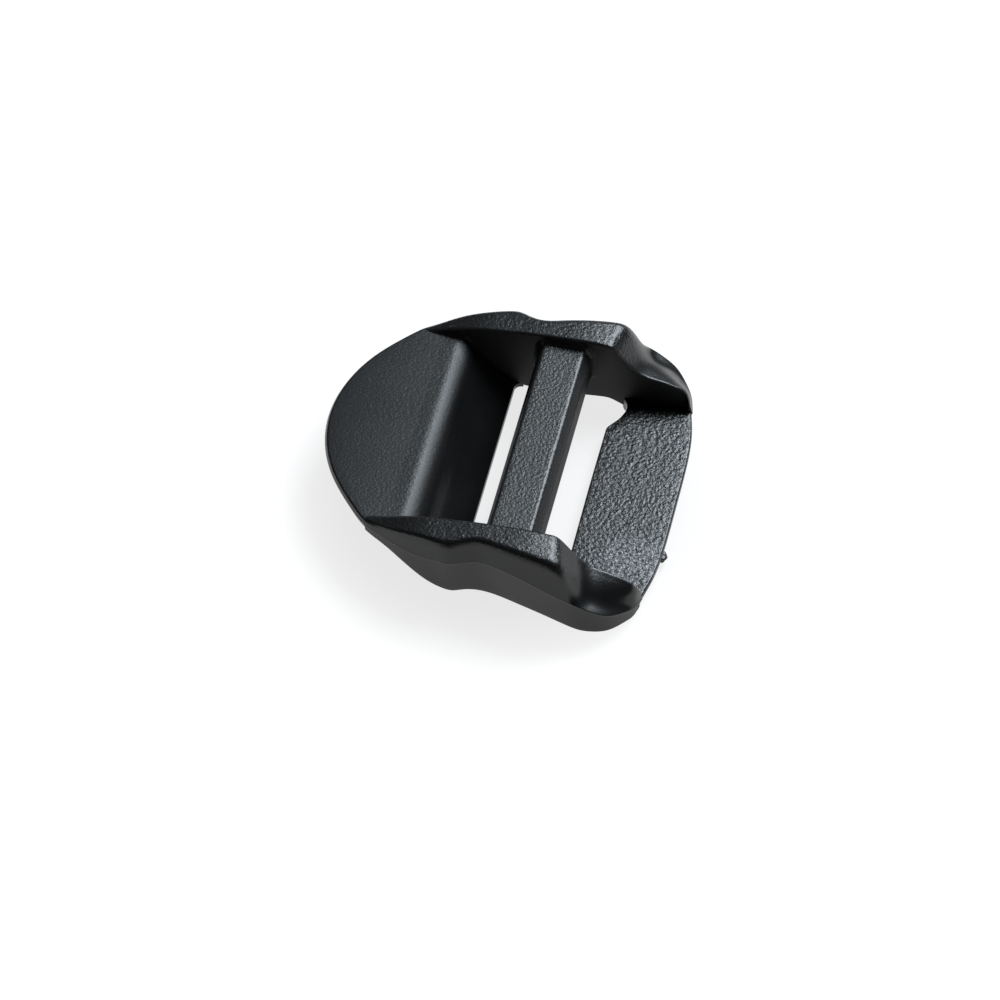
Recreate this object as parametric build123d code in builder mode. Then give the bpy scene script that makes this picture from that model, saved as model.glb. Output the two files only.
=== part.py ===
"""Ladder-lock webbing adjuster for 25 mm webbing, moulded in one piece.

Axes: +X runs along the strap from the thumb tab to the end plate, +Y is to the left, +Z is up.
The origin is on the surface that the buckle rests on, under the middle of its length.
The moulding is written as regions that meet face to face, one node for each.
"""
import os

from build123d import *

os.makedirs("parts", exist_ok=True)

# ---- the webbing, which sets the opening -------------------------------------------------------
webbing_width = 25.0
webbing_side_gap = 0.25

# ---- middle bar --------------------------------------------------------------------------------
bar_x = 3.8              # middle of the bar
bar_top_width = 4.8
bar_width = 5.8
bar_top = 8.7
bar_bottom = 4.4
bar_bevel = 0.9          # height of the bevel along its two long top edges
bar_bottom_round = 0.6

# ---- thumb tab ---------------------------------------------------------------------------------
tab_length = 12.2        # from its front edge to the crest
tab_top = 7.1
tab_thickness = 1.6
tab_shoulder = 5.4       # from the crest forward to where the rails begin on its outer edge
tab_nose_x = 3.9         # how far behind the front edge its outline is half turned
tab_nose_inset = 3.3     # and how much narrower it is there than at its shoulders
tab_round = 0.4
crest_drop = 0.8         # height of the turned-down strip behind the crest

# ---- pinch wall --------------------------------------------------------------------------------
pinch_gap = 2.25         # free way between the pinch edge and the bar, seen from above
pinch_low = 0.7          # height of the lower corner of the pinch edge
pinch_face = 0.6         # height of the blunt face at the pinch edge
pinch_run = 5.2          # how far the wall leans back from the pinch edge up to the crest
pinch_belly = 1.9        # how far below the crest joint the wall's hollow underside runs

# ---- end plate ---------------------------------------------------------------------------------
plate_thickness = 1.9
plate_gap = 2.5          # free way between the bar and the plate, seen from above
plate_width_x = 9.3      # width of the plate along the strap, on the centre line
plate_bow = 1.3          # how far its outer edge bows out beyond the corners
plate_round = 0.3
plate_flare = 0.6        # how much wider than the slot it is at its outer corners
relief_depth = 1.3       # how far the strap slot is widened at its two ends
relief_width = 3.3
relief_slant = 1.4

# ---- rails -------------------------------------------------------------------------------------
rail_top = 9.9           # top of the arch above the resting surface
root_width = 0.75        # width of a rail beside the opening, where it grows out of the tab
bulge_width = 3.9        # and at the bulge, the waist and the foot
waist_width = 3.1
foot_width = 4.8
band_inset = 0.9         # how far the narrow top band stands in from the wide lower part
ridge_inset = 2.6        # the same at the foot, where only a narrow ridge stands above it
shoulder_top = 7.8       # top of the wide lower part, at the waist
foot_drop = 2.3          # how much lower it is at the foot
nose_drop = 3.4          # how far the arch has come down behind its nose, at the foot
shoulder_round = 0.8
rail_belly = 1.6         # how far the rail's underside has come down below the tab, at the crest

# stations that the rail's edges pass through, measured along the strap from the middle of the bar
bulge_ahead = 5.9
waist_ahead = 3.2
nose_behind = 6.3
foot_behind = 9.0
swell_ahead = 5.0        # first station of the outline, in front of the bulge
swell_inset = 1.0        # and how much narrower the rail is there than at the bulge
arch_ahead = 3.0         # station of the outline in front of the nose
arch_inset = 1.1         # and how much narrower the rail is there than at the foot
heel_ahead = 1.0         # last station of the outline, in front of the plate's corner
heel_width = 1.7         # and how far it stands out from that corner
shoulder_swell = 0.4     # how much higher the wide lower part is at the bulge than at the waist
arch_start = 1.0         # first station of the arch, in front of the bulge
arch_start_dip = 0.3     # and how far it is below the top there
nose_dip = 0.6           # how far the arch is below its top, just in front of the nose
nose_lead = 1.0          # and how far in front of the nose that is
ridge_lead = 0.6         # how far in front of the foot the arch has come down by the nose drop

# ---- gate vestige ------------------------------------------------------------------------------
gate_y = -6.3
gate_width = 1.5
gate_proud = 0.4
gate_height = 1.0
gate_bottom = 0.4
gate_chamfer = 0.3

# ---- values that follow from the ones above ----------------------------------------------------
slot_half = webbing_width / 2 + webbing_side_gap
root_half = slot_half + root_width
bulge_half = slot_half + bulge_width
waist_half = slot_half + waist_width
foot_half = slot_half + foot_width
tab_nose_half = root_half - tab_nose_inset
bar_left = bar_x - bar_width / 2
bar_right = bar_x + bar_width / 2
pinch_x = bar_left - pinch_gap
crest_x = pinch_x - pinch_run
tip_x = crest_x - tab_length
root_x = crest_x - tab_shoulder
tab_bottom = tab_top - tab_thickness
plate_x = bar_right + plate_gap
edge_x = plate_x + plate_width_x
corner_x = edge_x - plate_bow
corner_half = slot_half + plate_flare
bulge_x = bar_x - bulge_ahead
waist_x = bar_x - waist_ahead
nose_x = bar_x + nose_behind
foot_x = bar_x + foot_behind
cut_height = 2 * rail_top
cut_width = 2 * foot_half


# ---- grip_tab: the D-shaped thumb tab, as far back as its crest ---------------------------------
wall_lean = (tab_top - pinch_low - pinch_face) / pinch_run
crest_low_x = crest_x + crest_drop / wall_lean
crest_low_z = tab_top - crest_drop
joint_x = crest_low_x - tab_thickness
joint_z = crest_low_z - tab_thickness
hollow_x = crest_x - 2 * tab_thickness     # where the level underside turns down into the wall

with BuildPart() as grip_tab:
    with BuildSketch() as tab_outline:
        with BuildLine():
            front = Spline(
                (root_x, root_half),
                (tip_x + tab_nose_x, tab_nose_half),
                (tip_x, 0),
                tangents=[(-1, -0.6), (0, -1)],
            )
            Polyline(front @ 0, (root_x, slot_half), (pinch_x, slot_half), (pinch_x, 0))
            mirror(about=Plane.XZ)
        make_face()
    extrude(amount=cut_height)
    with BuildSketch(Plane.XZ) as tab_section:
        with BuildLine():
            Polyline(
                (tip_x, tab_bottom),
                (tip_x, tab_top),
                (crest_x, tab_top),
                (crest_low_x, crest_low_z),
                (joint_x, joint_z),
                (hollow_x, tab_bottom),
                (tip_x, tab_bottom),
            )
        make_face()
    extrude(amount=foot_half, both=True, mode=Mode.INTERSECT)
    rims = grip_tab.edges().filter_by(GeomType.BSPLINE).filter_by(lambda edge: edge.length > tab_thickness)
    fillet(rims, radius=tab_round)
grip_tab.part.label = "grip_tab"
export_step(grip_tab.part, "parts/grip_tab.step")


# ---- pinch_wall: the sloping wall that the strap is pressed against ------------------------------
with BuildPart() as pinch_wall:
    with BuildSketch(Plane.XZ) as wall_section:
        with BuildLine():
            Polyline(
                (hollow_x, tab_bottom),
                (joint_x, joint_z),
                (crest_low_x, crest_low_z),
                (pinch_x, pinch_low + pinch_face),
                (pinch_x, pinch_low),
                (pinch_x - pinch_face, pinch_low),
            )
            Spline(
                (pinch_x - pinch_face, pinch_low),
                (joint_x, joint_z - pinch_belly),
                (hollow_x, tab_bottom),
                tangents=[(-1, 0.4), (-1, 0.1)],
            )
        make_face()
    extrude(amount=slot_half, both=True)
pinch_wall.part.label = "pinch_wall"
export_step(pinch_wall.part, "parts/pinch_wall.step")


# ---- middle_bar: the raised bar that the free strap goes over ------------------------------------
with BuildPart() as middle_bar:
    with BuildSketch(Plane.XZ) as bar_section:
        with BuildLine():
            Polyline(
                (bar_x - bar_top_width / 2, bar_top),
                (bar_x + bar_top_width / 2, bar_top),
                (bar_right, bar_top - bar_bevel),
                (bar_right, bar_bottom),
                (bar_left, bar_bottom),
                (bar_left, bar_top - bar_bevel),
                close=True,
            )
        make_face()
        fillet(bar_section.vertices().group_by(Axis.Y)[0], radius=bar_bottom_round)
    extrude(amount=slot_half, both=True)
middle_bar.part.label = "middle_bar"
export_step(middle_bar.part, "parts/middle_bar.step")


# ---- end_plate: the flat plate that the fixed strap is sewn round --------------------------------
relief_y = slot_half - relief_width

with BuildPart() as end_plate:
    with BuildSketch() as plate_outline:
        with BuildLine():
            ThreePointArc((corner_x, -corner_half), (edge_x, 0), (corner_x, corner_half))
            Polyline(
                (corner_x, corner_half),
                (plate_x + relief_depth, slot_half),
                (plate_x + relief_depth, relief_y + relief_slant),
                (plate_x, relief_y),
                (plate_x, -relief_y),
                (plate_x + relief_depth, -relief_y - relief_slant),
                (plate_x + relief_depth, -slot_half),
                (corner_x, -corner_half),
            )
        make_face()
    extrude(amount=plate_thickness)
    fillet(end_plate.edges().filter_by(GeomType.CIRCLE), radius=plate_round)
end_plate.part.label = "end_plate"
export_step(end_plate.part, "parts/end_plate.step")


# ---- side_rail_left and side_rail_right: the arched rails, each with its foot --------------------
def rail_edge(inset, foot_inset):
    """Outer edge of the left rail seen from above, drawn from the tab back to the plate."""
    return Spline(
        (root_x, root_half - inset / 2),
        (bulge_x - swell_ahead, bulge_half - swell_inset - inset / 2),
        (bulge_x, bulge_half - inset),
        (waist_x, waist_half - inset),
        (nose_x - arch_ahead, foot_half - arch_inset - inset),
        (foot_x, foot_half - foot_inset),
        (corner_x - heel_ahead, corner_half + heel_width - foot_inset / 2),
        (corner_x, corner_half),
        tangents=[(1, 0.5), (0.25, -1)],
    )


def rail_inner_edge(edge):
    """Straight inner side of the left rail, from the plate's corner forward to the tab."""
    return Polyline(
        (corner_x, corner_half),
        (plate_x + relief_depth, slot_half),
        (root_x, slot_half),
        edge @ 0,
    )


with BuildPart() as side_rail_left:
    with BuildSketch() as wide_outline:
        with BuildLine():
            rail_inner_edge(rail_edge(0, 0))
        make_face()
    extrude(amount=cut_height)
    with BuildSketch(Plane.XZ) as over_shoulder:
        with BuildLine():
            Spline(
                (root_x, tab_top),
                (bulge_x, shoulder_top + shoulder_swell),
                (waist_x, shoulder_top),
                (foot_x, shoulder_top - foot_drop),
                (corner_x, plate_thickness),
                tangents=[(1, 0), (0.6, -1)],
            )
            Polyline(
                (corner_x, plate_thickness),
                (corner_x, cut_height),
                (root_x, cut_height),
                (root_x, tab_top),
            )
        make_face()
    extrude(amount=-cut_width, mode=Mode.SUBTRACT)
    shoulder_edge = side_rail_left.faces().sort_by(Axis.Y)[-1].edges().sort_by(SortBy.LENGTH)[-1]
    fillet(shoulder_edge, radius=shoulder_round)
    with BuildSketch() as narrow_outline:
        with BuildLine():
            rail_inner_edge(rail_edge(band_inset, ridge_inset))
        make_face()
    extrude(amount=cut_height)
    with BuildSketch(Plane.XZ) as side_view:
        with BuildLine():
            Spline(
                (root_x, tab_top),
                (bulge_x - arch_start, rail_top - arch_start_dip),
                (bar_x, rail_top),
                (nose_x - nose_lead, rail_top - nose_dip),
                (foot_x - ridge_lead, rail_top - nose_drop),
                (corner_x, plate_thickness),
                tangents=[(1, 0.5), (1, -1)],
            )
            Line((corner_x, plate_thickness), (corner_x, 0))
            Line((corner_x, 0), (pinch_x, 0))
            Spline(
                (pinch_x, 0),
                (crest_x, tab_bottom - rail_belly),
                (root_x, tab_bottom),
                tangents=[(-1, 0.3), (-1, 0.1)],
            )
            Line((root_x, tab_bottom), (root_x, tab_top))
        make_face()
    extrude(amount=-cut_width, mode=Mode.INTERSECT)
side_rail_left.part.label = "side_rail_left"
export_step(side_rail_left.part, "parts/side_rail_left.step")

with BuildPart() as side_rail_right:
    mirror(side_rail_left.part, about=Plane.XZ)
side_rail_right.part.label = "side_rail_right"
export_step(side_rail_right.part, "parts/side_rail_right.step")


# ---- gate_vestige: the nub that the moulding gate leaves on the plate's outer edge ---------------
with BuildPart() as gate_vestige:
    with Locations((edge_x - gate_proud, gate_y, gate_bottom)):
        Box(2 * gate_proud, gate_width, gate_height, align=(Align.MIN, Align.CENTER, Align.MIN))
    chamfer(gate_vestige.edges().filter_by(Axis.Z).sort_by(Axis.X)[-2:], length=gate_chamfer)
    add(end_plate.part, mode=Mode.SUBTRACT)
gate_vestige.part.label = "gate_vestige"
export_step(gate_vestige.part, "parts/gate_vestige.step")
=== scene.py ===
# %% [markdown]
# # A ladder-lock webbing adjuster, moulded in black plastic
#
# The real thing is one injection moulding for 25 mm webbing. A thumb tab runs back to a crest, a wall
# slopes down from the crest to the pinch edge, a raised bar crosses the opening, and a flat plate closes
# the back. Two arched rails hold all of this together. Nothing on it moves.
#
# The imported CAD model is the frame. Every surface here takes its place from that frame, in metres, and
# is worked out in millimetres, because that is how a mould maker thinks of such a small part.

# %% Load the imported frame
import math

import bpy
import numpy as np
from mathutils import Matrix, Vector


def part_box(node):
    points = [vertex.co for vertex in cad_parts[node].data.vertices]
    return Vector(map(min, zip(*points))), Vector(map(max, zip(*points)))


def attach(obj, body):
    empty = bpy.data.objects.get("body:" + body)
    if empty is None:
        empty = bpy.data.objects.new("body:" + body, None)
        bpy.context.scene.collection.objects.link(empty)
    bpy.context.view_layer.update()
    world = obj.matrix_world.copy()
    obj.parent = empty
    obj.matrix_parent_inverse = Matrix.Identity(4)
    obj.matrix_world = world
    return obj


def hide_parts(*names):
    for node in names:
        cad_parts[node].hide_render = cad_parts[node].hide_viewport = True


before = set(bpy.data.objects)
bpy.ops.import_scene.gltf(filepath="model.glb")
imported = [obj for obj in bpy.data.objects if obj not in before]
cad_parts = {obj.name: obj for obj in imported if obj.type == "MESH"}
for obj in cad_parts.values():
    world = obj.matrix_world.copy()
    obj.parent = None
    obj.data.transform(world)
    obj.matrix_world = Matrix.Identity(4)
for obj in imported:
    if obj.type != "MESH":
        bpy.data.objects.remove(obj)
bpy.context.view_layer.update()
MM = 0.001
print("nodes in the frame:", sorted(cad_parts))

# %% [markdown]
# ## Reading the frame
#
# The bar's middle is the best place to measure from, as everything on a webbing adjuster is set out on
# either side of its bar. Here the corners of a few CAD nodes become named lengths in millimetres.


# %% Lengths taken from the frame
def corners_mm(node):
    """Lowest and highest corners of a CAD node, in millimetres."""
    low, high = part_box(node)
    return np.array(low) / MM, np.array(high) / MM


bar_low, bar_high = corners_mm("middle_bar")
bar_x = (bar_low[0] + bar_high[0]) / 2
slot_half = bar_high[1]
tab_top = corners_mm("grip_tab")[1][2]
plate_top = corners_mm("end_plate")[1][2]
print("bar middle x:", round(bar_x, 2), " half of the opening:", round(slot_half, 2))
print("tab top:", round(tab_top, 2), " plate top:", round(plate_top, 2))

# %% [markdown]
# ## Three helpers that every piece uses
#
# A shape like this is drawn the way a boat is: a table of offsets gives a few stations, and a fair curve
# runs through them. The natural cubic spline is that fair curve. It is the shape that a thin batten takes
# when it is held at the stations, so light runs along it without kinks.


# %% A fair curve through stations
def fair(knots, values, where):
    """Natural cubic spline. Between two knots the value is a cubic whose second derivative runs in a
    straight line from one knot's bend to the next one's, and the bend is zero at both ends. Slopes that
    match on the two sides of each inner knot give one linear equation for each unknown bend."""
    knots = np.asarray(knots, float)
    values = np.asarray(values, float)
    gaps = np.diff(knots)[:, None]
    slopes = np.diff(values, axis=0) / gaps
    count = len(knots)
    system = np.eye(count)
    wanted = np.zeros_like(values)
    inner = np.arange(1, count - 1)
    system[inner, inner - 1] = gaps[:-1, 0]
    system[inner, inner] = 2 * (gaps[:-1, 0] + gaps[1:, 0])
    system[inner, inner + 1] = gaps[1:, 0]
    wanted[inner] = 6 * np.diff(slopes, axis=0)
    bends = np.linalg.solve(system, wanted)
    cell = np.clip(np.searchsorted(knots, where, side="right") - 1, 0, count - 2)
    ahead = (np.asarray(where) - knots[cell])[:, None]
    start_slope = slopes[cell] - gaps[cell] * (2 * bends[cell] + bends[cell + 1]) / 6
    rise = (bends[cell + 1] - bends[cell]) / (6 * gaps[cell])
    return values[cell] + ahead * start_slope + ahead**2 * bends[cell] / 2 + ahead**3 * rise


def chord_knots(points):
    """Knots spaced by the straight distance between stations, so that the curve keeps an even pace."""
    return np.concatenate([[0], np.cumsum(np.linalg.norm(np.diff(points, axis=0), axis=1))])


# %% [markdown]
# A moulding has no sharp corners, because hot plastic doesn't fill one and a cutter can't make one. So
# each cross section is drawn with sharp corners first, and each corner is then eased by its own amount.
#
# The same table says how each run between two corners is finished. Grain is the etched pebble texture of
# the mould, where 1 is fine and more than 1 adds coarse pebbles. Gloss is polish above 0 and dullness
# below 0.


# %% Easing the corners of many cross sections at once
ARC_STEPS = 8
RUN_STEPS = 6
EASE_LIMIT = 0.48        # part of a run that one easing may take
TINY = 1e-9              # keeps square roots and divisions off zero


def eased_loops(corners, finish):
    """Closed loops with eased corners, for all stations at once.

    corners is (stations, corners, 3). finish has a row for each corner: how far its easing starts from
    it, and the grain and the gloss of the straight run that starts there. An eased corner is a parabola:
    (1-t)^2 * start + 2t(1-t) * corner + t^2 * end. Returns the loops, and the grain and the gloss at each
    of their points.
    """
    reach, grain, gloss = np.array(finish, float).T
    to_last = np.roll(corners, 1, axis=1) - corners
    to_next = np.roll(corners, -1, axis=1) - corners
    last_length = np.linalg.norm(to_last, axis=2, keepdims=True) + TINY
    next_length = np.linalg.norm(to_next, axis=2, keepdims=True) + TINY
    allowed = EASE_LIMIT * np.minimum(last_length, next_length)
    eased = np.minimum(reach.reshape(1, -1, 1), allowed)
    start = corners + to_last / last_length * eased
    end = corners + to_next / next_length * eased
    t = np.linspace(0, 1, ARC_STEPS + 1)[:, None]
    arc = (1 - t) ** 2 * start[:, :, None] + 2 * t * (1 - t) * corners[:, :, None] + t**2 * end[:, :, None]
    u = np.linspace(0, 1, RUN_STEPS + 1)[1:-1, None]
    run = end[:, :, None] * (1 - u) + np.roll(start, -1, axis=1)[:, :, None] * u
    loops = np.concatenate([arc, run], axis=2).reshape(len(corners), -1, 3)

    def spread(marks):
        arc_marks = np.roll(marks, 1)[:, None] * (1 - t[:, 0]) + marks[:, None] * t[:, 0]
        run_marks = np.repeat(marks[:, None], len(u), axis=1)
        return np.concatenate([arc_marks, run_marks], axis=1).reshape(-1)

    return loops, spread(grain), spread(gloss)


# %% [markdown]
# The third helper turns a stack of closed loops into a mesh. The faces are quads between neighbouring
# loops, and each end is closed with a fan of triangles round a middle point. The divergence theorem gives
# the volume that the faces enclose, and if it comes out negative, the faces are turned over.

# %% Loops to a closed mesh
SHARP_ANGLE = math.radians(48)
pieces = {}


def moulded(name, loops, grain, gloss):
    """A closed mesh from loops (stations, points, 3) in millimetres. grain and gloss are per point."""
    stations, around, _ = loops.shape
    ends = np.stack([loops[0].mean(axis=0), loops[-1].mean(axis=0)])
    points = np.concatenate([loops.reshape(-1, 3), ends]) * MM
    i, j = np.meshgrid(np.arange(stations - 1), np.arange(around), indexing="ij")
    k = (j + 1) % around
    quads = np.stack([i * around + j, i * around + k, (i + 1) * around + k, (i + 1) * around + j], axis=-1)
    quads = quads.reshape(-1, 4)
    ring = np.arange(around)
    turn = (ring + 1) % around
    first = stations * around
    near = np.stack([np.full(around, first), turn, ring], axis=-1)
    last = (stations - 1) * around
    far = np.stack([np.full(around, first + 1), last + ring, last + turn], axis=-1)
    fans = np.concatenate([near, far])
    halves = np.concatenate([quads[:, [0, 1, 2]], quads[:, [0, 2, 3]], fans])
    a, b, c = points[halves[:, 0]], points[halves[:, 1]], points[halves[:, 2]]
    volume = np.einsum("ij,ij->i", a, np.cross(b, c)).sum() / 6
    if volume < 0:
        quads = quads[:, ::-1]
        fans = fans[:, ::-1]
    mesh = bpy.data.meshes.new(name)
    mesh.vertices.add(len(points))
    mesh.vertices.foreach_set("co", points.ravel())
    corners = np.concatenate([quads.ravel(), fans.ravel()])
    mesh.loops.add(len(corners))
    mesh.loops.foreach_set("vertex_index", corners)
    starts = np.concatenate([np.arange(len(quads)) * 4, quads.size + np.arange(len(fans)) * 3])
    mesh.polygons.add(len(starts))
    mesh.polygons.foreach_set("loop_start", starts)
    mesh.update(calc_edges=True)
    mesh.validate()
    mesh.shade_smooth()
    mesh.set_sharp_from_angle(angle=SHARP_ANGLE)
    for title, values in (("grain", grain), ("gloss", gloss)):
        whole = np.broadcast_to(values, (stations, around)).reshape(-1)
        whole = np.concatenate([whole, whole[:1], whole[-1:]])
        layer = mesh.attributes.new(title, "FLOAT", "POINT")
        layer.data.foreach_set("value", whole)
    piece = bpy.data.objects.new(name, mesh)
    bpy.context.scene.collection.objects.link(piece)
    pieces[name] = piece
    print(name, "faces:", len(starts), " volume mm3:", round(abs(volume) / MM**3, 1))
    return piece


# %% [markdown]
# ## The rim
#
# One fair line runs all round the moulding: the parting line, where the two halves of the mould meet. It
# goes from the foot of one rail, round the front of the thumb tab, to the foot of the other rail. The tab
# and both rails hang their cross sections on this one line, so their surfaces flow into each other.

# %% Stations of the rim
rim_half = np.array([
    # x from the bar's middle, y, z
    (-22.55, 0.0, 6.55),
    (-21.60, 5.1, 6.55),
    (-19.85, 8.45, 6.55),
    (-17.25, 11.65, 6.55),
    (-15.35, 13.45, 6.55),
    (-13.40, 14.45, 6.50),
    (-11.60, 15.15, 6.35),
    (-8.90, 15.9, 6.20),
    (-7.00, 16.4, 6.60),
    (-5.70, 16.65, 6.85),
    (-4.70, 16.3, 6.80),
    (-3.20, 15.85, 6.90),
    (-1.00, 16.2, 7.12),
    (1.50, 16.85, 7.02),
    (4.50, 17.4, 6.25),
    (6.60, 17.6, 5.50),
    (8.20, 17.6, 4.85),
    (9.60, 17.4, 4.15),
    (11.10, 16.85, 3.40),
    (12.25, 15.80, 2.80),
    (13.25, 14.4, 2.15),
    (13.75, 12.6, 1.60),
])
rim_half[:, 0] += bar_x
ROOT = 4                 # row of the station where a rail begins
LEFT_TO_RIGHT = np.array([1, -1, 1])
rim_whole = np.concatenate([rim_half[:0:-1] * LEFT_TO_RIGHT, rim_half])
rim_knots = chord_knots(rim_whole)
nose_knot = rim_knots[len(rim_half) - 1]


def rim_at(distance):
    """The rim's point at a distance along it from the nose, to the left where it is positive."""
    return fair(rim_knots, rim_whole, nose_knot + np.asarray(distance))


root_distance = rim_knots[len(rim_half) - 1 + ROOT] - nose_knot
foot_distance = rim_knots[-1] - nose_knot
print("rim from nose to root:", round(root_distance, 2), "mm, to foot:", round(foot_distance, 2), "mm")

# %% [markdown]
# ## The side rails
#
# A rail is the most modelled part of this moulding. Its cross section has a flat grained band on top, a
# steep wall that sweeps out into a rounded shoulder, a fine bead on the parting line, and a lower wall
# that leans in towards the base, which is also the draft that lets it leave the mould. Behind the nose
# the band narrows to a ridge, and the foot beside it is dished.
#
# It could be cut from a block with booleans, but a table of offsets is truer to it. Each row is a station
# along the rim. A straight ruling joins a point on the opening's straight side to the rim, and the widths
# are fractions of that ruling, so that the stations can fan out round the foot's rear corner.

# %% Table of offsets for a rail
offsets = np.array([
    # inner x, y  | band inner z, width, outer z | shoulder width, z | base inset, z | under z
    (-15.35, 12.75, 7.10, 0.55, 7.10, 0.90, 6.95, 0.25, 5.30, 5.5),
    (-13.40, 12.75, 7.70, 0.80, 7.65, 0.92, 7.30, 0.35, 4.70, 5.4),
    (-11.60, 12.75, 8.35, 0.84, 8.30, 0.93, 7.75, 0.50, 3.60, 4.9),
    (-8.90, 12.75, 9.05, 0.84, 9.00, 0.93, 8.30, 0.85, 1.40, 3.0),
    (-7.00, 12.75, 9.30, 0.82, 9.25, 0.92, 8.60, 1.30, 0.35, 1.8),
    (-5.70, 12.75, 9.45, 0.77, 9.40, 0.89, 8.65, 1.75, 0.00, 1.4),
    (-4.70, 12.75, 9.57, 0.74, 9.52, 0.87, 8.75, 1.80, 0.00, 1.05),
    (-3.20, 12.75, 9.72, 0.74, 9.67, 0.87, 8.85, 1.65, 0.00, 1.0),
    (-1.00, 12.75, 9.86, 0.76, 9.82, 0.88, 9.00, 1.75, 0.00, 1.0),
    (1.50, 12.75, 9.98, 0.76, 9.93, 0.87, 9.10, 1.70, 0.00, 1.2),
    (4.10, 12.75, 9.90, 0.77, 9.83, 0.88, 8.95, 1.45, 0.00, 1.5),
    (5.40, 12.72, 9.05, 0.69, 8.90, 0.86, 7.95, 1.10, 0.00, 1.2),
    (7.20, 12.75, 6.85, 0.50, 6.40, 0.78, 5.45, 0.70, 0.00, 0.3),
    (8.90, 12.80, 5.85, 0.42, 5.30, 0.76, 4.42, 0.60, 0.00, 0.0),
    (10.30, 12.85, 5.55, 0.42, 4.95, 0.76, 3.80, 0.60, 0.00, 0.0),
    (11.60, 12.90, 5.15, 0.43, 4.50, 0.77, 3.20, 0.60, 0.00, 0.0),
    (12.80, 12.95, 4.45, 0.46, 3.85, 0.80, 2.55, 0.55, 0.00, 0.0),
    (13.35, 12.50, 3.00, 0.50, 2.70, 0.84, 1.95, 0.40, 0.05, 0.1),
])
offsets[:, 0] += bar_x
print("stations of a rail:", len(offsets), " highest:", offsets[:, 2].max())

# %% The two rails
RAIL_STATIONS = 260
PARTING_BEAD = 0.05      # how far the bead stands out
BEAD_HALF = 0.1          # half of its height
UNDER_TURN = 0.45        # part of the ruling where the base turns up to the hollow underside
FOOT_START = 6.0         # behind the bar's middle, where the grain fades from the rail's top
FOOT_FADE = 0.35
FOOT_GRAIN = 0.25        # part of the grain that is left on the foot
RAIL_FINISH = [
    # reach, grain, gloss
    (0.15, 0.0, -2.0),   # wall of the opening
    (0.35, 1.7, 0.0),    # band on top
    (0.9, 0.4, 0.2),     # steep wall beside it
    (0.9, 0.1, 0.2),     # shoulder
    (0.1, 0.1, 0.1),     # upper side of the bead
    (0.03, 0.1, -0.5),   # lower side of the bead
    (0.1, 0.1, -1.8),    # lower wall
    (0.35, 0.0, -0.5),   # base
    (0.2, 0.0, -0.5),    # hollow underside
]


def rail_loops(side):
    """Loops of one rail. A point of a section is inner + w * (rim - inner) in plan, and its height comes
    from the table, so the whole rail is a function of the station and of the place round the section."""
    knots = rim_knots[len(rim_half) - 1 + ROOT:] - nose_knot
    where = np.linspace(root_distance, foot_distance, RAIL_STATIONS)
    table = fair(knots, offsets, where)
    rim = rim_at(where)
    inner = table[:, :2]
    outward = rim[:, :2] - inner
    span = np.linalg.norm(outward, axis=1)

    def at(width, height):
        plan = inner + np.asarray(width).reshape(-1, 1) * outward
        height = np.broadcast_to(np.asarray(height, float), len(where))
        return np.concatenate([plan, np.maximum(height, 0)[:, None]], axis=1)

    _, _, band_in, band_w, band_out, shoulder_w, shoulder_z, base, base_z, under = table.T
    parting = rim[:, 2]
    corners = np.stack([
        at(0, under),
        at(0, band_in),
        at(band_w, band_out),
        at(shoulder_w, shoulder_z),
        at(1, parting + BEAD_HALF),
        at(1 + PARTING_BEAD / span, parting),
        at(1, parting - BEAD_HALF),
        at(1 - base / span, base_z),
        at(UNDER_TURN, base_z),
    ], axis=1)
    loops, grain, gloss = eased_loops(corners, RAIL_FINISH)
    fade = 1 / (1 + np.exp((inner[:, 0] - bar_x - FOOT_START) / FOOT_FADE))
    grain = grain[None, :] * (FOOT_GRAIN + (1 - FOOT_GRAIN) * fade[:, None])
    return loops * np.array([1, side, 1]), grain, gloss


for side, name in ((1, "rail_left"), (-1, "rail_right")):
    moulded(name, *rail_loops(side))

# %% [markdown]
# ## Quarter circles where a piece meets the rails
#
# A cutter leaves a round corner wherever two walls of the mould meet, so each piece that crosses the
# opening swells as it comes to a rail. The swelling is always the same curve: a quarter circle that ends
# on the rail's inner wall. On the tab it lifts the top, and on the wall and the bar it widens them.


# %% Swelling towards the rails
def quarter_round(y, radius):
    """Swelling at y for a quarter circle of this radius: r - sqrt(r^2 - d^2), where d is how far y has
    gone into it."""
    depth = np.clip(np.abs(y) - (slot_half - radius), 0, radius)
    return radius - np.sqrt(radius**2 - depth**2 + TINY)


FILLET = 0.6
FILLET_LEAST = 0.02
FILLET_GROWTH = 0.22     # gain of radius for each millimetre behind the start
FILLET_START = -15.2     # from the bar's middle, by the rail's root


def fillet_lift(x, y):
    """Lift of the top along a rail. The radius grows from nothing at the rail's root."""
    return quarter_round(y, np.clip(FILLET_GROWTH * (x - bar_x - FILLET_START), FILLET_LEAST, FILLET))


def across_opening(overlap, count):
    """Places across the opening, closer together towards its ends, and into the rails by the overlap."""
    return (slot_half + overlap) * np.sin(np.linspace(-math.pi / 2, math.pi / 2, count))


print("lift beside a rail, full fillet:", round(float(fillet_lift(bar_x, slot_half)), 2), "mm")

# %% [markdown]
# ## The thumb tab
#
# The tab is a thin D-shaped plate with a slightly crowned top, so that a thumb finds it and tilts the
# buckle to loosen the strap. Its rulings run from the joint line near the crest to the rim, so the
# rounded edge follows the rim exactly.

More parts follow.
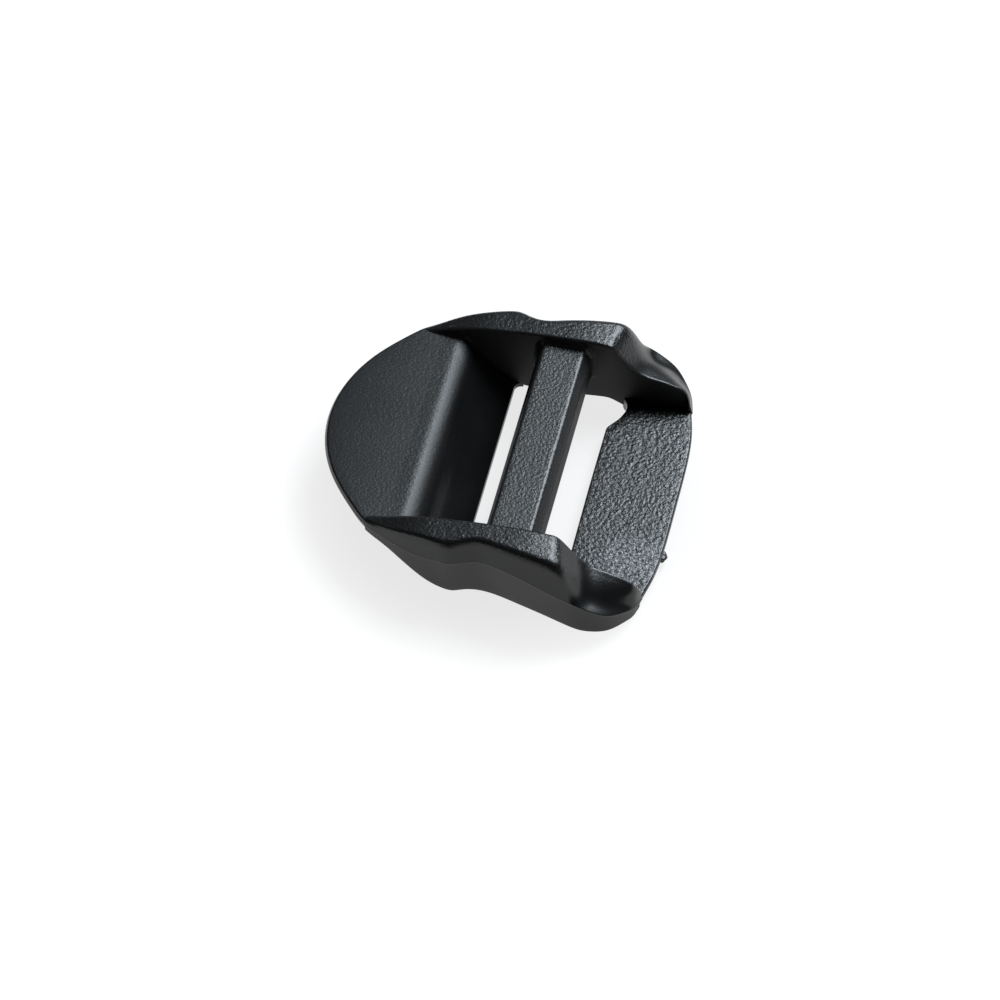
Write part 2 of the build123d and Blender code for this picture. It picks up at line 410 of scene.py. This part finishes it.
# %% The tab
TAB_STATIONS = 300
TAB_THICKNESS = 1.6
TAB_CROWN = 0.25         # how far the top has come down at the front edge
TAB_OVERLAP = 0.1        # how far it runs into the rails
RIM_INSET = 0.18         # from the rim in to the flat top
UNDER_INSET = 0.3        # and in to the flat underside
joint_x = bar_x - 13.3   # line where the tab meets the crest
TAB_FINISH = [
    # reach, grain, gloss
    (0, 0.45, 0),        # top
    (0.5, 0.3, 0.1),     # rounded upper edge
    (0.1, 0.1, 0.2),     # upper side of the bead
    (0.03, 0.1, 0.2),    # lower side of the bead
    (0.1, 0.1, 0.2),     # rounded lower edge
    (0.5, 0, 0.3),       # underside
    (0, 0, 0.3),         # joint with the pinch wall
]


def tab_loops():
    """Loops of the tab. Each ruling goes from the joint line to the rim, and a section is a flat bar whose
    outer end is eased above and below the parting line."""
    where = np.linspace(-root_distance, root_distance, TAB_STATIONS)
    rim = rim_at(where)
    hub_y = rim[:, 1] * (slot_half + TAB_OVERLAP) / rim[-1, 1]
    hub = np.stack([np.full(len(where), joint_x), hub_y], axis=1)
    inward = hub - rim[:, :2]
    span = np.linalg.norm(inward, axis=1, keepdims=True)
    inward = inward / span
    bottom = tab_top - TAB_THICKNESS

    def at(distance, height):
        plan = rim[:, :2] + inward * distance
        return np.concatenate([plan, np.full((len(where), 1), height)], axis=1)

    parting = rim[0, 2]
    corners = np.stack([
        at(span, tab_top),
        at(RIM_INSET, tab_top),
        at(0, parting + BEAD_HALF),
        at(-PARTING_BEAD, parting),
        at(0, parting - BEAD_HALF),
        at(UNDER_INSET, bottom),
        at(span, bottom),
    ], axis=1)
    loops, grain, gloss = eased_loops(corners, TAB_FINISH)
    along = np.clip((joint_x - loops[:, :, 0]) / (joint_x - rim[:, 0].min()), 0, 1)
    top = np.clip((loops[:, :, 2] - bottom) / TAB_THICKNESS, 0, 1)
    loops[:, :, 2] += top * (fillet_lift(loops[:, :, 0], loops[:, :, 1]) - TAB_CROWN * along**3)
    return loops, grain, gloss


moulded("thumb_tab", *tab_loops())

# %% [markdown]
# ## The crest and the pinch wall
#
# The strap is pressed between the pinch edge and the bar, so this wall is polished where the strap runs.
# The crest above it is handled and rubbed, so it is duller, with a little grain of its own.
#
# It is one profile carried straight across, which is how its two mould halves would be milled. Low down,
# at both ends, it flares out in a quarter circle: the rounded corner of the slot as seen from above.

# %% The pinch wall
WALL_STATIONS = 220
WALL_OVERLAP = 0.08      # how far it runs into the rails
WALL_FLARE = 0.8
FLARE_TOP = 2.6          # height above which there is no flare
FLARE_FADE = 1.3         # and over how much height it grows below that
FLARE_LEAD = 2.0         # and over how much length it grows behind the joint
CREST_X = -10.75         # from the bar's middle
CREST_RISE = 0.04
CREST_HALF = 0.9         # how far along x the dull strip reaches on each side of the crest
CREST_DEPTH = 1.6        # how far down the wall it reaches
CREST_FADE = 0.8
CREST_DULL = 2.0
CREST_GRAIN = 0.35
LIFT_DEPTH = 1.2         # how far below the tab's top the fillet's lift reaches
LIFT_FADE = 1.0
WALL_PROFILE = np.array([
    # x from the bar's middle, height
    (joint_x - bar_x, tab_top),
    (CREST_X, tab_top + CREST_RISE),
    (-8.5, 4.1),
    (-5.5, 1.32),
    (-5.45, 0.75),
    (-6.1, 0.6),
    (-9.5, 3.1),
    (joint_x - bar_x, tab_top - TAB_THICKNESS),
])
WALL_FINISH = [
    # reach, grain, gloss
    (0, 0.5, 0),         # top, from the joint to the crest
    (1.35, 0.15, 0.6),   # upper half of the polished face
    (1.5, 0, 1),         # lower half of the polished face
    (0.1, 0, 1),         # pinch edge
    (0.12, 0, 0.5),      # foot of the pinch edge
    (0.4, 0, 0.3),       # underside, behind its bend
    (1.5, 0, 0.3),       # underside, in front of its bend
    (0, 0, 0),           # joint with the tab
]


def wall_loops():
    """The profile, with its lower part moved along x by the flare near the two ends, and its top lifted
    there by the fillet."""
    corners = np.zeros((WALL_STATIONS, len(WALL_PROFILE), 3))
    corners[:, :, 0] = WALL_PROFILE[:, 0] + bar_x
    corners[:, :, 1] = across_opening(WALL_OVERLAP, WALL_STATIONS)[:, None]
    corners[:, :, 2] = WALL_PROFILE[:, 1]
    loops, grain, gloss = eased_loops(corners, WALL_FINISH)
    from_crest = (loops[:, :, 0] - bar_x - CREST_X) / CREST_HALF
    high = np.clip((loops[:, :, 2] - tab_top + CREST_DEPTH) / CREST_FADE, 0, 1)
    on_crest = np.exp(-from_crest**2) * high
    gloss = gloss - CREST_DULL * on_crest
    grain = grain + CREST_GRAIN * on_crest
    low = np.clip((FLARE_TOP - loops[:, :, 2]) / FLARE_FADE, 0, 1)
    behind = np.clip((loops[:, :, 0] - joint_x) / FLARE_LEAD, 0, 1)
    loops[:, :, 0] += quarter_round(loops[:, :, 1], WALL_FLARE) * low * behind
    top = np.clip((loops[:, :, 2] - tab_top + LIFT_DEPTH) / LIFT_FADE, 0, 1)
    loops[:, :, 2] += top * fillet_lift(loops[:, :, 0], loops[:, :, 1])
    return loops, grain, gloss


moulded("pinch_wall_polished", *wall_loops())

# %% [markdown]
# ## The bar
#
# The free strap goes over this bar, so its two long top edges are bevelled. The rear bevel is the larger
# one. Each end runs into its rail with a small flare, which takes every corner of the profile outwards.

# %% The bar
BAR_STATIONS = 200
BAR_OVERLAP = 0.1        # how far it runs into the rails
BAR_FLARE = 0.55
FRONT_BEVEL = 0.45       # along x
FRONT_BEVEL_DROP = 0.75
REAR_BEVEL = 1.0         # along x, from the rear of the CAD bar
REAR_BEVEL_DROP = 0.85
REAR_INSET = 0.25        # of the rear face, from the CAD bar: at the bevel
REAR_FOOT_INSET = 0.2    # and at its bottom
BAR_OUTWARD = np.array([
    # how much of the flare each corner takes, along x and upwards
    (-1, 1), (1, 1), (1, 0.5), (1, 0), (-1.6, 0), (-1, 0.5),
])
BAR_FINISH = [
    # reach, grain, gloss
    (0.3, 1, 0),         # top
    (0.25, 0.4, -0.5),   # rear bevel
    (0.25, 0, -1.8),     # rear face
    (0.5, 0, 0),         # underside
    (0.5, 0, -0.5),      # front face
    (0.3, 0.3, 0.2),     # front bevel
]


def bar_loops():
    """The bar's profile, grown outwards by the flare near its two ends."""
    top = bar_high[2]
    bottom = bar_low[2]
    half = (bar_high[0] - bar_low[0]) / 2
    profile = np.array([
        (-half + FRONT_BEVEL, top),
        (half - REAR_BEVEL, top),
        (half - REAR_INSET, top - REAR_BEVEL_DROP),
        (half - REAR_FOOT_INSET, bottom),
        (-half, bottom),
        (-half, top - FRONT_BEVEL_DROP),
    ])
    y = across_opening(BAR_OVERLAP, BAR_STATIONS)
    flare = quarter_round(y, BAR_FLARE)
    corners = np.zeros((BAR_STATIONS, len(profile), 3))
    corners[:, :, 0] = bar_x + profile[:, 0] + flare[:, None] * BAR_OUTWARD[:, 0]
    corners[:, :, 1] = y[:, None]
    corners[:, :, 2] = profile[:, 1] + flare[:, None] * BAR_OUTWARD[:, 1]
    return eased_loops(corners, BAR_FINISH)


moulded("strap_bar", *bar_loops())

# %% [markdown]
# ## The end plate
#
# The fixed strap is sewn round this flat plate. Its inner edge is straight, with a relief at each end so
# that the strap's edges don't bunch up, and its outer edge bows out a little. The plate has the coarsest
# grain on the moulding. It is a ruled plate: each section joins a point of the inner edge to one of the
# outer edge, so both edges keep their own line.

# %% The plate
PLATE_STATIONS = 260
PLATE_OVERLAP = 0.5      # how far it runs into the rails
INNER_EDGE = np.array([
    # y, x from the bar's middle
    (0, 5.25), (8.5, 5.3), (10.0, 6.4), (11.2, 6.85), (11.9, 6.82), (12.5, 6.5), (12.8, 6.0),
])
EDGE_WINDOW = 13         # stations over which the inner edge's corners are smoothed
OUTER_EDGE = np.array([
    # y, x from the bar's middle
    (-13.5, 13.45), (-10, 14.3), (-5, 14.7), (0, 14.72), (5, 14.7), (10, 14.3), (13.5, 13.45),
])
BEVEL_INSET = 0.12       # of the outer edge's small bevel
BEVEL_DROP = 0.35
OUTER_DRAFT = 0.45       # how far the outer edge leans in at the base
INNER_DRAFT = 0.15
PLATE_FINISH = [
    # reach, grain, gloss
    (0.22, 1.85, 0.5),   # top
    (0.22, 0.4, 0.3),    # bevel of the outer edge
    (0.25, 0.1, 0.3),    # outer edge
    (0.2, 0, 0.3),       # base
    (0.2, 0, 0.5),       # inner edge
]


def plate_loops():
    """Sections of the plate. The inner edge is its table of points, smoothed by a sliding average."""
    y = np.linspace(-slot_half - PLATE_OVERLAP, slot_half + PLATE_OVERLAP, PLATE_STATIONS)
    inner = np.interp(np.abs(y), INNER_EDGE[:, 0], INNER_EDGE[:, 1])
    window = np.hanning(EDGE_WINDOW)
    padded = np.pad(inner, EDGE_WINDOW // 2, mode="edge")
    inner = np.convolve(padded, window / window.sum(), mode="valid")
    outer = fair(OUTER_EDGE[:, 0], OUTER_EDGE[:, 1:], y)[:, 0]

    def at(x, height):
        return np.stack([x + bar_x, y, np.full(len(y), height)], axis=1)

    corners = np.stack([
        at(inner, plate_top),
        at(outer - BEVEL_INSET, plate_top),
        at(outer, plate_top - BEVEL_DROP),
        at(outer - OUTER_DRAFT, 0),
        at(inner + INNER_DRAFT, 0),
    ], axis=1)
    return eased_loops(corners, PLATE_FINISH)


moulded("end_plate_grained", *plate_loops())

# %% [markdown]
# ## The gate vestige
#
# Plastic enters the mould through a small gate. When the part is broken off, a torn nub stays on the outer
# edge of the plate. It is a short tube of uneven loops that gets smaller outwards.

# %% The nub
gate_low, gate_high = corners_mm("gate_vestige")
NUB_STEPS = 15
NUB_POINTS = 48
NUB_OVERLAP = 0.4        # how far it runs into the plate
NUB_SHORT = 0.1          # how far its torn face stays behind the CAD nub's
NUB_SIZE = 0.8           # of the CAD nub's height and width
NUB_LEAST = 0.1          # square of the least size, at the torn face
NUB_TEAR = 0.08          # unevenness of the torn face
NUB_FINISH = (0.3, 0.1)  # grain, gloss


def nub_loops():
    """Loops in the y-z plane: a rounded square whose radius ripples with a slow and a quick wave."""
    out = np.linspace(0, 1, NUB_STEPS)
    angle = np.linspace(0, 2 * math.pi, NUB_POINTS + 1)[:-1]
    size = np.sqrt(np.clip(1 - out**8, NUB_LEAST, 1)) * NUB_SIZE
    ripple = 1 + 0.07 * np.sin(3 * angle + 1) + 0.05 * np.sin(7 * angle + 2)
    square = (np.abs(np.cos(angle)) ** 6 + np.abs(np.sin(angle)) ** 6) ** (-1 / 6)
    middle = (gate_low + gate_high) / 2
    half = (gate_high - gate_low) / 2
    start = gate_low[0] - NUB_OVERLAP
    length = gate_high[0] - NUB_SHORT - start
    tear = 1 - NUB_TEAR * np.sin(2 * angle)[None, :] * out[:, None]
    loops = np.zeros((NUB_STEPS, NUB_POINTS, 3))
    loops[:, :, 0] = np.minimum(start + length * out[:, None] * tear, gate_high[0])
    loops[:, :, 1] = middle[1] + half[1] * size[:, None] * ripple * square * np.cos(angle)
    loops[:, :, 2] = middle[2] + half[2] * size[:, None] * ripple * square * np.sin(angle)
    return loops, *(np.full(NUB_POINTS, value) for value in NUB_FINISH)


moulded("gate_nub", *nub_loops())

# %% [markdown]
# ## The plastic
#
# The whole moulding is one black plastic, so there is one material. What changes over it is the mould's
# surface: etched grain on the tops, a satin on the outer walls, and a polish where the strap runs. The
# two attributes "grain" and "gloss", set on each point above, steer the bump and the roughness.

# %% Helpers for the material's nodes
plastic = bpy.data.materials.new("moulded_black_plastic")
plastic.use_nodes = True
tree = plastic.node_tree
nodes = tree.nodes
shader = nodes["Principled BSDF"]


def node(kind, **settings):
    """A node of a kind, with its settings."""
    made = nodes.new(kind)
    for key, value in settings.items():
        setattr(made, key, value)
    return made


def link(source, target):
    tree.links.new(source, target)


def maths(operation, first, second=0.0):
    """A Math node that takes sockets or plain numbers."""
    made = node("ShaderNodeMath", operation=operation)
    for socket, value in zip(made.inputs, (first, second)):
        if isinstance(value, (int, float)):
            socket.default_value = value
        else:
            link(value, socket)
    return made.outputs[0]


def shares(first, first_share, second, second_share):
    """The sum of two values, each times its share."""
    return maths("ADD", maths("MULTIPLY", first, first_share), maths("MULTIPLY", second, second_share))


place = node("ShaderNodeTexCoord").outputs["Object"]
grain_mark = node("ShaderNodeAttribute", attribute_name="grain").outputs["Fac"]
gloss_mark = node("ShaderNodeAttribute", attribute_name="gloss").outputs["Fac"]


def noise(size_mm, detail, roughness=0.5):
    """Noise whose features are about size_mm across."""
    made = node("ShaderNodeTexNoise")
    made.inputs["Scale"].default_value = 1 / (size_mm * MM)
    made.inputs["Detail"].default_value = detail
    made.inputs["Roughness"].default_value = roughness
    link(place, made.inputs["Vector"])
    return made.outputs["Fac"]


PEBBLE_SMOOTHNESS = 0.6


def pebble(size_mm):
    """Rounded pebbles about size_mm across: the smooth distance to the nearest of many scattered points."""
    made = node("ShaderNodeTexVoronoi", feature="SMOOTH_F1")
    made.inputs["Scale"].default_value = 1 / (size_mm * MM)
    made.inputs["Smoothness"].default_value = PEBBLE_SMOOTHNESS
    link(place, made.inputs["Vector"])
    return maths("SUBTRACT", 1.0, made.outputs["Distance"])


# %% [markdown]
# Mould grain is etched with acid, which eats rounded pits. Scattered pebbles with a little noise in them
# look like that. The grain mark up to 1 brings in the fine pebbles, and what it has above 1 brings in the
# coarse ones. The satin is never quite even, so a broad noise wanders through the roughness.

# %% Grain and polish
GRAIN_DEPTH_MM = 0.055
BROAD_MM = 7.0
SKIN_MM = 0.12           # size of the faint texture that even the polished walls have
SKIN_SHARE = 0.05
SATIN = 0.26             # roughness with neither grain nor gloss
BROAD_CHANGE = 0.08      # what the broad noise adds to it
GRAIN_CHANGE = 0.02      # what fine grain adds to it
POLISH = 0.14            # what a gloss of 1 takes from it
fine = shares(noise(0.19, 3, 0.6), 0.6, pebble(0.33), 0.5)
coarse = shares(noise(0.35, 2, 0.55), 0.5, pebble(0.45), 0.8)
broad = noise(BROAD_MM, 2)
fine_part = maths("MINIMUM", grain_mark, 1.0)
coarse_part = maths("MAXIMUM", maths("SUBTRACT", grain_mark, 1.0), 0.0)
height = shares(fine, fine_part, coarse, coarse_part)
height = maths("ADD", height, maths("MULTIPLY", noise(SKIN_MM, 2), SKIN_SHARE))
bump = node("ShaderNodeBump")
bump.inputs["Strength"].default_value = 1.0
bump.inputs["Distance"].default_value = GRAIN_DEPTH_MM * MM
link(height, bump.inputs["Height"])
link(bump.outputs["Normal"], shader.inputs["Normal"])

satin = maths("ADD", SATIN, maths("MULTIPLY", broad, BROAD_CHANGE))
rough = maths("ADD", satin, maths("MULTIPLY", fine_part, GRAIN_CHANGE))
rough = maths("SUBTRACT", rough, maths("MULTIPLY", gloss_mark, POLISH))
link(rough, shader.inputs["Roughness"])
print("grain depth:", GRAIN_DEPTH_MM, "mm, satin roughness:", SATIN)

# %% [markdown]
# Black plastic shows wear as grey scratches. The plate has a scuffed patch near its rear corner: streaks
# of stretched noise, strongest in the middle of a soft round patch, that lighten the colour.

# %% The scuff
SCUFF_AT = (bar_x + 11.6, -8.2, plate_top)
SCUFF_RADIUS = 4.0
SCUFF_TURN = math.radians(35)
SCUFF_STRETCH = (1, 4, 1)
STREAK_MM = 0.7
STREAK_START = 0.46      # noise above which there is a scratch
STREAK_STRENGTH = 14.0
offset = node("ShaderNodeVectorMath", operation="DISTANCE")
link(place, offset.inputs[0])
offset.inputs[1].default_value = tuple(c * MM for c in SCUFF_AT)
patch = maths("SUBTRACT", 1.0, maths("DIVIDE", offset.outputs["Value"], SCUFF_RADIUS * MM))
patch = maths("MAXIMUM", patch, 0.0)
streak_place = node("ShaderNodeMapping")
link(place, streak_place.inputs["Vector"])
streak_place.inputs["Rotation"].default_value = (0, 0, SCUFF_TURN)
streak_place.inputs["Scale"].default_value = SCUFF_STRETCH
streaks = node("ShaderNodeTexNoise")
streaks.inputs["Scale"].default_value = 1 / (STREAK_MM * MM)
streaks.inputs["Detail"].default_value = 3
link(streak_place.outputs["Vector"], streaks.inputs["Vector"])
scuffed = maths("MAXIMUM", maths("SUBTRACT", streaks.outputs["Fac"], STREAK_START), 0.0)
scuffed = maths("MINIMUM", maths("MULTIPLY", maths("MULTIPLY", scuffed, patch), STREAK_STRENGTH), 1.0)

# %% The colour
DEEP_BLACK = (0.0025, 0.0027, 0.0028, 1)
SOFT_BLACK = (0.0045, 0.0048, 0.0050, 1)
WORN_GREY = (0.085, 0.090, 0.098, 1)
PLASTIC_IOR = 1.38
tone = node("ShaderNodeMix", data_type="RGBA")
tone.inputs["A"].default_value = DEEP_BLACK
tone.inputs["B"].default_value = SOFT_BLACK
link(broad, tone.inputs["Factor"])
worn = node("ShaderNodeMix", data_type="RGBA")
link(tone.outputs["Result"], worn.inputs["A"])
worn.inputs["B"].default_value = WORN_GREY
link(scuffed, worn.inputs["Factor"])
link(worn.outputs["Result"], shader.inputs["Base Color"])
shader.inputs["IOR"].default_value = PLASTIC_IOR

for piece in pieces.values():
    piece.data.materials.append(plastic)
print("material nodes:", len(nodes), " pieces with the plastic:", len(pieces))

# %% [markdown]
# ## Tying the surfaces to the frame
#
# Each piece rides on the one CAD body and stands for its CAD node, which is hidden.

# %% Ride and replace
stands_for = {
    "thumb_tab": "grip_tab",
    "pinch_wall_polished": "pinch_wall",
    "rail_left": "side_rail_left",
    "rail_right": "side_rail_right",
    "strap_bar": "middle_bar",
    "end_plate_grained": "end_plate",
    "gate_nub": "gate_vestige",
}
for name, cad_node in stands_for.items():
    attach(pieces[name], "root")
    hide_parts(cad_node)
print("pieces tied to the body root:", len(stands_for))

# %% [markdown]
# ## Floor, light and camera
#
# A small black part is usually shown on white paper that is lit from below, so that the paper is bright
# and throws little light up at the part. Here the paper glows by itself. Its glow is turned down under the
# part as a painted shadow, and it rises from there outwards.

# %% Floor
FLOOR_SIZE = 3
FLOOR_DROP = 0.02        # how far the paper is below the part's base
PAPER_COLOUR = (0.09, 0.09, 0.09, 1)
GLOW_COLOUR = (1.0, 1.0, 1.0, 1)
GLOW_INNER = 14.0        # radius of the shaded paper
GLOW_OUTER = 48.0        # radius where the glow is full
GLOW_SHADED = 0.78
GLOW_FULL = 1.4
bpy.ops.mesh.primitive_plane_add(size=FLOOR_SIZE)
floor = bpy.context.object
floor.name = "floor"
floor.location.z = -FLOOR_DROP * MM
paper = bpy.data.materials.new("pale_paper")
paper.use_nodes = True
paper_nodes = paper.node_tree.nodes
paper_links = paper.node_tree.links
paper_shader = paper_nodes["Principled BSDF"]
paper_shader.inputs["Base Color"].default_value = PAPER_COLOUR
paper_shader.inputs["Emission Color"].default_value = GLOW_COLOUR
paper_shader.inputs["Roughness"].default_value = 0.9
paper_shader.inputs["Specular IOR Level"].default_value = 0.1
paper_place = paper_nodes.new("ShaderNodeTexCoord")
from_part = paper_nodes.new("ShaderNodeVectorMath")
from_part.operation = "LENGTH"
# Painted shadow on the paper: the glow is weakest under the part and full from GLOW_OUTER outwards.
glow_with_painted_shadow = paper_nodes.new("ShaderNodeMapRange")
glow_with_painted_shadow.interpolation_type = "SMOOTHSTEP"
glow_with_painted_shadow.inputs["From Min"].default_value = GLOW_INNER * MM
glow_with_painted_shadow.inputs["From Max"].default_value = GLOW_OUTER * MM
glow_with_painted_shadow.inputs["To Min"].default_value = GLOW_SHADED
glow_with_painted_shadow.inputs["To Max"].default_value = GLOW_FULL
paper_links.new(paper_place.outputs["Object"], from_part.inputs[0])
paper_links.new(from_part.outputs["Value"], glow_with_painted_shadow.inputs["Value"])
paper_links.new(glow_with_painted_shadow.outputs["Result"], paper_shader.inputs["Emission Strength"])
floor.data.materials.append(paper)
print("floor height:", floor.location.z / MM, "mm")

# %% [markdown]
# Black plastic has almost no colour to light up: what is seen on it is the reflection of lamps. So the
# key softbox stands behind the part and to one side, a little off the mirror direction of the flat tops.
# Smooth tops then stay dark grey, and grain, which tilts the surface every way, catches the lamp. A wide
# faint softbox fills in, and the dim room keeps the walls that face the viewer dark.

# %% Lights
ROOM_LIGHT = 0.06
LAMP_TINT = (0.84, 0.93, 1.0)
AIM_HEIGHT = 6.0         # above the base, in millimetres
world = bpy.data.worlds.new("studio")
world.use_nodes = True
world.node_tree.nodes["Background"].inputs["Color"].default_value = (1, 1, 1, 1)
world.node_tree.nodes["Background"].inputs["Strength"].default_value = ROOM_LIGHT
bpy.context.scene.world = world
middle = Vector((bar_x * MM, 0, AIM_HEIGHT * MM))


def softbox(name, direction, distance, size, brightness):
    """A square area light that looks at the part, in metres. brightness is its radiance, so power is
    brightness times pi times its area."""
    light = bpy.data.lights.new(name, "AREA")
    light.size = size
    light.energy = brightness * math.pi * size * size
    light.color = LAMP_TINT
    lamp = bpy.data.objects.new(name, light)
    aim = Vector(direction).normalized()
    lamp.location = middle + aim * distance
    lamp.rotation_euler = aim.to_track_quat("Z", "Y").to_euler()
    bpy.context.scene.collection.objects.link(lamp)
    print(name, "power:", round(light.energy, 2), "W")


softbox("top_softbox", direction=(0.30, 0.56, 0.77), distance=0.4, size=0.22, brightness=25.0)
softbox("back_softbox", direction=(-0.14, 0.6, 0.79), distance=0.8, size=0.5, brightness=0.7)

# %% [markdown]
# A long lens from half a metre away keeps the rails nearly parallel. The camera's three axes are worked
# out from a turn about the vertical and a tilt above the floor, and its place is then moved along them,
# which slides the part in the picture without turning it.

# %% Camera
turn = math.radians(13.302)
tilt = math.radians(52)
DISTANCE = 470.5
LOOK_HEIGHT = 2.9        # above the base, in millimetres
SLIDE_RIGHT = 4.108      # how far the part is slid in the picture
SLIDE_UP = 2.796
LENS_MM = 162
SENSOR_MM = 36
CLIP_START = 0.01
camera_data = bpy.data.cameras.new("camera")
camera = bpy.data.objects.new("camera", camera_data)
bpy.context.scene.collection.objects.link(camera)
right = Vector((math.cos(turn), math.sin(turn), 0))
back = Vector((math.sin(turn) * math.cos(tilt), -math.cos(turn) * math.cos(tilt), math.sin(tilt)))
up = back.cross(right)
spot = Vector((bar_x, 0, LOOK_HEIGHT)) + back * DISTANCE - right * SLIDE_RIGHT - up * SLIDE_UP
axes = Matrix((right, up, back)).transposed().to_4x4()
camera.matrix_world = Matrix.Translation(spot * MM) @ axes
camera_data.sensor_width = SENSOR_MM
camera_data.lens = LENS_MM
camera_data.clip_start = CLIP_START
bpy.context.scene.camera = camera
bpy.context.scene.view_settings.view_transform = "Standard"
print("camera at, mm:", [round(value, 1) for value in spot])
